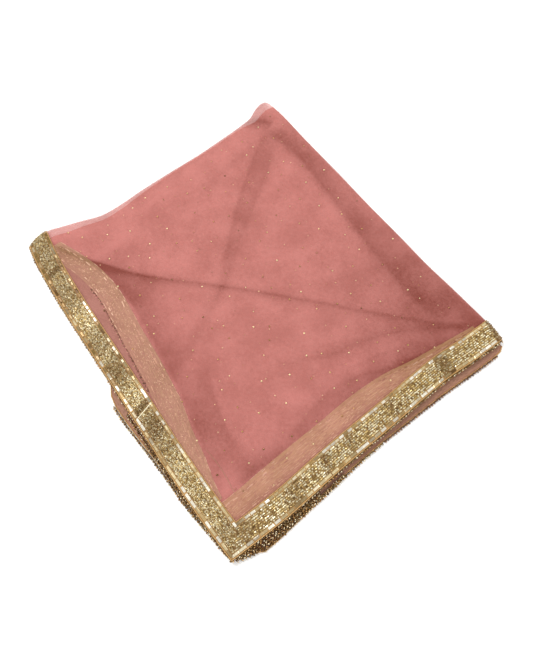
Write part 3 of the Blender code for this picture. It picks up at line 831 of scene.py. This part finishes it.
# its bright lines: share across, width, length and gap of the dashes, how many of them still show
secondLines = [(0.93, 1.2, 7.0, 1.5, 0.35), (0.80, 1.5, 11.0, 2.0, 0.7), (0.16, 1.5, 8.0, 1.5, 0.35),
               (0.04, 0.7, 12.0, 1.0, 0.7), (0.99, 0.7, 12.0, 0.6, 0.6)]
second = {"drop": 0.45, "speckRows": 11, "speckPitch": 4.4,
          "side": {"turn": 32, "length": 2.4, "look": wrongSide, "darkerOutside": 0.2, "flat": (0.034, 0.485)},
          "end": {"turn": 4, "length": 7.0, "look": wrongSideLong, "darkerOutside": 0.55,
                  "flat": (0.0355, 0.484)}}


def bandSpot(band, which, along, share):
    # share runs from the band's outer edge to its inner one
    outer, inner = followTable(band["outer"], along), followTable(band["inner"], along)
    at = outer + (inner - outer) * share
    x, y = (along, at) if which == "side" else (at, along)
    return np.stack([x, y, clothTop(x, y) - band.get("drop", second["drop"])], -1)


def secondSpot(which, along, share):
    return bandSpot(secondBands[which], which, along, share)


def flatBits(name, which, along, share, sizes, turn, material):
    # small flat bits of gilt lying on the second band
    place = secondSpot(which, along, share)
    forward = unit(secondSpot(which, along + 2, share) - place)
    turn = np.radians(turn)[:, None]
    forward = unit(forward * np.cos(turn) + np.cross(upright, forward) * np.sin(turn))
    axes = (forward, unit(np.cross(upright, forward)), upright)
    bits = joinedCopies(name, barShape(0.1), place, axes, sizes, material)
    return bits


def secondRibbon(which):
    title, kind = f"second{which.title()}", second[which]
    first, last = secondBands[which]["outer"][0][0], secondBands[which]["outer"][-1][0]
    along, share = bandGrid(first, last, 220, 1, 14)
    # the band's ground is darker towards its outer edge
    ground = makeObject(f"{title}Ribbon", secondSpot(which, along, share), gridFaces(*along.shape),
                        kind["look"], weave=np.stack([along, share * 35, 0 * share], -1),
                        shade=kind["darkerOutside"] * soft((0.45 - share) / 0.3))
    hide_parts(f"second_{which}_border")
    for n, (at, width, dash, gap, kept) in enumerate(secondLines):
        count = int((last - first) / (dash + gap))
        middles = first + (np.arange(count) + 0.5) / count * (last - first)
        middles = middles[dice.random(count) < kept]
        count = len(middles)
        sizes = np.stack([dash * dice.uniform(0.6, 1.0, count), np.full(count, width),
                          np.full(count, 0.25)], -1)
        flatBits(f"{title}Strips{n}", which, middles, np.full(count, at), sizes,
                              dice.normal(0, 3, count), wrongStrips)
    count = int((last - first) / second["speckPitch"]) * second["speckRows"]
    at = dice.uniform(first + 3, last - 3, count)
    row = 0.16 + 0.68 * dice.integers(0, second["speckRows"], count) / (second["speckRows"] - 1)
    sizes = np.stack([kind["length"] * dice.uniform(0.6, 1.3, count), dice.uniform(0.5, 0.95, count),
                      np.full(count, 0.2)], -1)
    turn = dice.normal(0, kind["turn"], count)
    flatBits(f"{title}Specks", which, at, row, sizes, turn, wrongSpecks)


for which in secondBands:
    secondRibbon(which)
route = secondSpot("side", np.linspace(-450, -255, 120), 0.0)
beadEdging("secondSideBeads", route, (0, -1.0, 0), drop=0.3, replaced="second_side_beads", beads=veiledBronze)

# The third layer's ribbon shows between the second's and the top border, and past its corner as one fine line
thirdBand = {"outer": [(-560, 8), (-500, 20), (-430, 27), (-343, 26), (-229, 24), (-190, 20)],
             "inner": [(-560, 24), (-510, 38), (-472, 49), (-424, 54), (-387, 51), (-344, 47), (-296, 43),
                       (-252, 38), (-220, 34), (-190, 28)],
             "drop": 0.85, "line": [(-140, 54), (-105, 56), (-66, 52)], "lineRadius": 0.45}


def thirdRibbon():
    along, share = bandGrid(thirdBand["outer"][0][0], thirdBand["outer"][-1][0], 190, 1, 8)
    places = bandSpot(thirdBand, "side", along, share)
    band = makeObject("thirdSideRibbon", places, gridFaces(*along.shape), wrongSideDeep,
                      weave=np.stack([along, places[..., 1], 0 * share], -1))
    x = np.linspace(thirdBand["line"][0][0], thirdBand["line"][-1][0], 60)
    y = followTable(thirdBand["line"], x)
    route = np.stack([x, y, clothTop(x, y) - 0.5], -1)
    tubeAlong("thirdSideEdge", route, thirdBand["lineRadius"], wrongSide, 5)


thirdRibbon()
print("second layer's ribbons sewn")

# The lower layers' borders. The lowest lies on the table and has slipped out to its own line: place along the
# edge, then its outer edge. The others stand a little inside the top layer's edge.
slippedEdge = {
    "side": [(-560, 4), (-440, -1), (-330, -1), (-306, -6), (-288, -16), (-270, -19), (-234, -18),
             (-206, -16), (-174, -13.5), (-137, -11.5), (-103, -11), (-75, -8), (-44, -4), (-8, 0)],
    "end": [(4, 0.5), (24, 6), (36, 13), (42, 16.5), (64, 16), (105, 12.5), (147, 9), (171, 5.5), (204, 1.5),
            (270, -1), (380, -0.8), (440, 1.8), (480, 2.8), (494, 2), (502, -3)],
}
under = {"wall": 0.7, "pipingRadius": 0.8, "side": {"flat": (0.024, 0.555), "span": (-566, -4)},
         "end": {"flat": (0.024, 0.498), "span": (4, 501)}}
stack = [{"name": "under", "width": 24, "height": 1.5, "inside": None},
         {"name": "lower", "width": 13, "height": 3.6, "inside": 1.2},
         {"name": "middle", "width": 13, "height": 5.9, "inside": 2.0}]


def underPlace(which, along, layer, inward):
    if layer["inside"] is None:
        edge = np.interp(along, *np.array(slippedEdge[which], float).T)
    else:
        edge = edgeAt(which, along) + layer["inside"] * (1 if which == "side" else -1)
        edge = edge + 0.9 * np.sin(along / 41 + layer["height"]) + 0.5 * np.sin(along / 17)
    height = layer["height"] + 0.02 * inward + 0 * along
    if which == "side":
        return np.stack([along, edge + inward, height], -1)
    return np.stack([edge - inward, along, height], -1)


def underRibbonOf(which, layer):
    slipped = layer["inside"] is None
    title, table = f"{layer['name']}{which.title()}", slippedEdge[which]
    first, last = (table[0][0], table[-1][0]) if slipped else under[which]["span"]
    along, inward = bandGrid(first, last, 190, layer["width"], 8)
    ground = makeObject(f"{title}Ribbon", underPlace(which, along, layer, inward), gridFaces(*along.shape),
                        underRibbon, weave=np.stack([along, inward, 0 * inward], -1))
    thicken(ground, under["wall"])
    route = underPlace(which, along[:, 0], layer, 0.6 + 0 * along[:, 0])
    edge = tubeAlong(f"{title}Piping", route, under["pipingRadius"], piping)
    if slipped:
        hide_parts(f"under_{which}_border")


for which in slippedEdge:
    for layer in stack:
        underRibbonOf(which, layer)

# Bead strings of the lower layers: each one's edge, height and route, as place along the edge and place of it
underStrings = {
    "underSideBeads": ("side", 2.3, [
        (-272, -20), (-234, -19), (-206, -17), (-174, -14.5), (-137, -12.5), (-103, -11.8), (-75, -9),
        (-44, -5), (-12, -1.4)]),
    "underSideBeadsUpper": ("side", 4.2, [
        (-250, -10), (-206, -10), (-174, -9.5), (-137, -8.5), (-103, -8.5), (-75, -6), (-30, -2.5)]),
    "underEndBeads": ("end", 3.2, [
        (40, 13.5), (64, 13), (105, 9.5), (147, 7.0), (171, 5.0), (204, 1.8), (262, -0.8)]),
    "underEndBeadsMiddle": ("end", 4.2, [
        (10, 4.0), (30, 8.5), (60, 9.5), (105, 7.2), (147, 5.2), (190, 1.6)]),
    "underEndBeadsUpper": ("end", 5.2, [(4, 1.5), (24, 4.5), (60, 6.0), (105, 4.8), (147, 3.4), (190, 0.2)]),
    "underEndBeadsInner": ("end", 6.2, [(6, 0.2), (30, 1.4), (60, 2.0), (105, 2.0), (147, 0.8)]),
    "underEndBeadsVeiled": ("end", 2.6, [(264, -1.0), (320, -1.2), (380, -1.0), (440, 1.6), (486, 2.6)]),
    "lowerSideBeads": ("side", 3.4, [(-560, 3.2), (-500, -1.0), (-440, -2.2), (-380, -2.5), (-300, -2.8)]),
    "middleEndBeads": ("end", 5.6, [
        (200, -8.5), (274, -11), (350, -13.5), (400, -15), (448, -12), (500, -10)]),
}
standsFor = {"underSideBeads": "under_side_beads", "underEndBeads": "under_end_beads"}
for name, (which, height, table) in underStrings.items():
    along = np.linspace(table[0][0], table[-1][0], 160)
    edge, height = followTable(table, along), height + 0 * along
    side = which == "side"
    route = np.stack([along, edge, height] if side else [edge, along, height], -1)
    beadEdging(name, route, (0, -1.0, 0) if side else (1.0, 0, 0), drop=0.2, replaced=standsFor.get(name),
               beads=veiledBronze if name.endswith("Veiled") else bronze)
print("under layers laid")

# Studs stuck on the net by the maker in loose staggered rows, clear of the ribbons and folds
studs = {"spacing": 38, "jitter": 13, "radius": 1.4, "lean": 0.14, "x": (-560, -20), "y": (55, 486),
         "clear": {"shortFold": 14, "end": 42, "side": 42, "longFold": 8},
         "layers": {"topStuds": (0.0, 12, 1.0), "secondStuds": (1.0, 34, 0.95), "deepStuds": (1.7, 50, 0.8)}}


def studLayer(name, drop, shift, scale):
    # one net's studs: how far it lies under the top one, how far its rows are shifted, and the studs' scale
    spacing, clear, (left, right), (near, far) = studs["spacing"], studs["clear"], studs["x"], studs["y"]
    places = []
    for n, x in enumerate(np.arange(left + shift, right, spacing)):
        for y in np.arange(near + (n % 2) * spacing / 2, far, spacing):
            places.append([at + dice.uniform(-1, 1) * studs["jitter"] for at in (x, y)])
    x, y = np.array(places).T
    keep = ((x > edgeAt("shortFold", y) + clear["shortFold"]) & (x < edgeAt("end", y) - clear["end"])
            & (y > edgeAt("side", x) + clear["side"]) & (y < edgeAt("longFold", x) - clear["longFold"]))
    x, y = x[keep], y[keep]
    count = len(x)
    way = flatWay(dice.uniform(0, 2 * math.pi, count))
    up = unit(np.column_stack([dice.normal(0, studs["lean"], (count, 2)), np.ones(count)]))
    along = unit(np.cross(way, up))
    radius = studs["radius"] * scale * dice.uniform(0.75, 1.15, count)
    sizes = np.stack([radius, radius, radius * 0.55], -1)
    thing = joinedCopies(name, ballShape(7, 4), np.stack([x, y, clothTop(x, y) - drop], -1),
                         (along, np.cross(up, along), up), sizes, studMetal)


for name, settings in studs["layers"].items():
    studLayer(name, *settings)
print("studs set")

# Plain pale table, three soft boxes and an even surround
floor = bpy.data.objects.new("floor", bpy.data.meshes.new("floor"))
floor.data.from_pydata([(-6, -6, 0), (6, -6, 0), (6, 6, 0), (-6, 6, 0)], [], [(0, 1, 2, 3)])
floor.data.materials.append(newMaterial("whitePaper", {"Base Color": linear("#F6F5F3"), "Roughness": 0.9,
                                                       "Specular IOR Level": 0.1})[0])
bpy.context.scene.collection.objects.link(floor)
floor.location.z = -0.2 * mm  # so that it doesn't flicker through the packet's underside

studio = {
    "surround": ("#FFFFFF", 0.75),  # colour and strength
    "boxes": [
        {"name": "keyBox", "place": (-1.0, -0.35, 1.7), "aim": (-0.05, 0.0, 0.0), "size": 0.9, "power": 26},
        {"name": "fillBox", "place": (1.2, -1.0, 1.5), "aim": (0.1, 0.0, 0.0), "size": 0.5, "power": 9},
        {"name": "backBox", "place": (0.1, 1.6, 1.1), "aim": (0.0, 0.0, 0.0), "size": 0.7, "power": 8},
    ],
}
world = bpy.data.worlds.new("surround")
bpy.context.scene.world = world
world.use_nodes = True
background = world.node_tree.nodes["Background"]
background.inputs["Color"].default_value = linear(studio["surround"][0])
background.inputs["Strength"].default_value = studio["surround"][1]


def aimAt(thing, place, aim):
    thing.location = place
    thing.rotation_euler = (Vector(aim) - Vector(place)).to_track_quat("-Z", "Y").to_euler()


for box in studio["boxes"]:
    lamp = bpy.data.lights.new(box["name"], "AREA")
    lamp.size, lamp.energy = box["size"], box["power"]
    holder = bpy.data.objects.new(box["name"], lamp)
    bpy.context.scene.collection.objects.link(holder)
    aimAt(holder, box["place"], box["aim"])

# Camera: nearly overhead near the laced corner, with the packet's corner pointing at the viewer
view = {"lens": 28, "azimuth": 53.73, "elevation": 71, "distance": 0.7823, "aim": (-229.2, 224.3, 12.0)}
camera = bpy.data.objects.new("camera", bpy.data.cameras.new("camera"))
camera.data.lens = view["lens"]
camera.data.clip_start = 0.05
bpy.context.scene.collection.objects.link(camera)
azimuth, elevation = math.radians(view["azimuth"]), math.radians(view["elevation"])
aim = np.array(view["aim"]) * mm + (cornerX, cornerY, 0)
back = np.array([math.sin(azimuth) * math.cos(elevation), -math.cos(azimuth) * math.cos(elevation),
                 math.sin(elevation)]) * view["distance"]
aimAt(camera, tuple(aim + back), tuple(aim))
bpy.context.scene.camera = camera
print("camera and lights set")
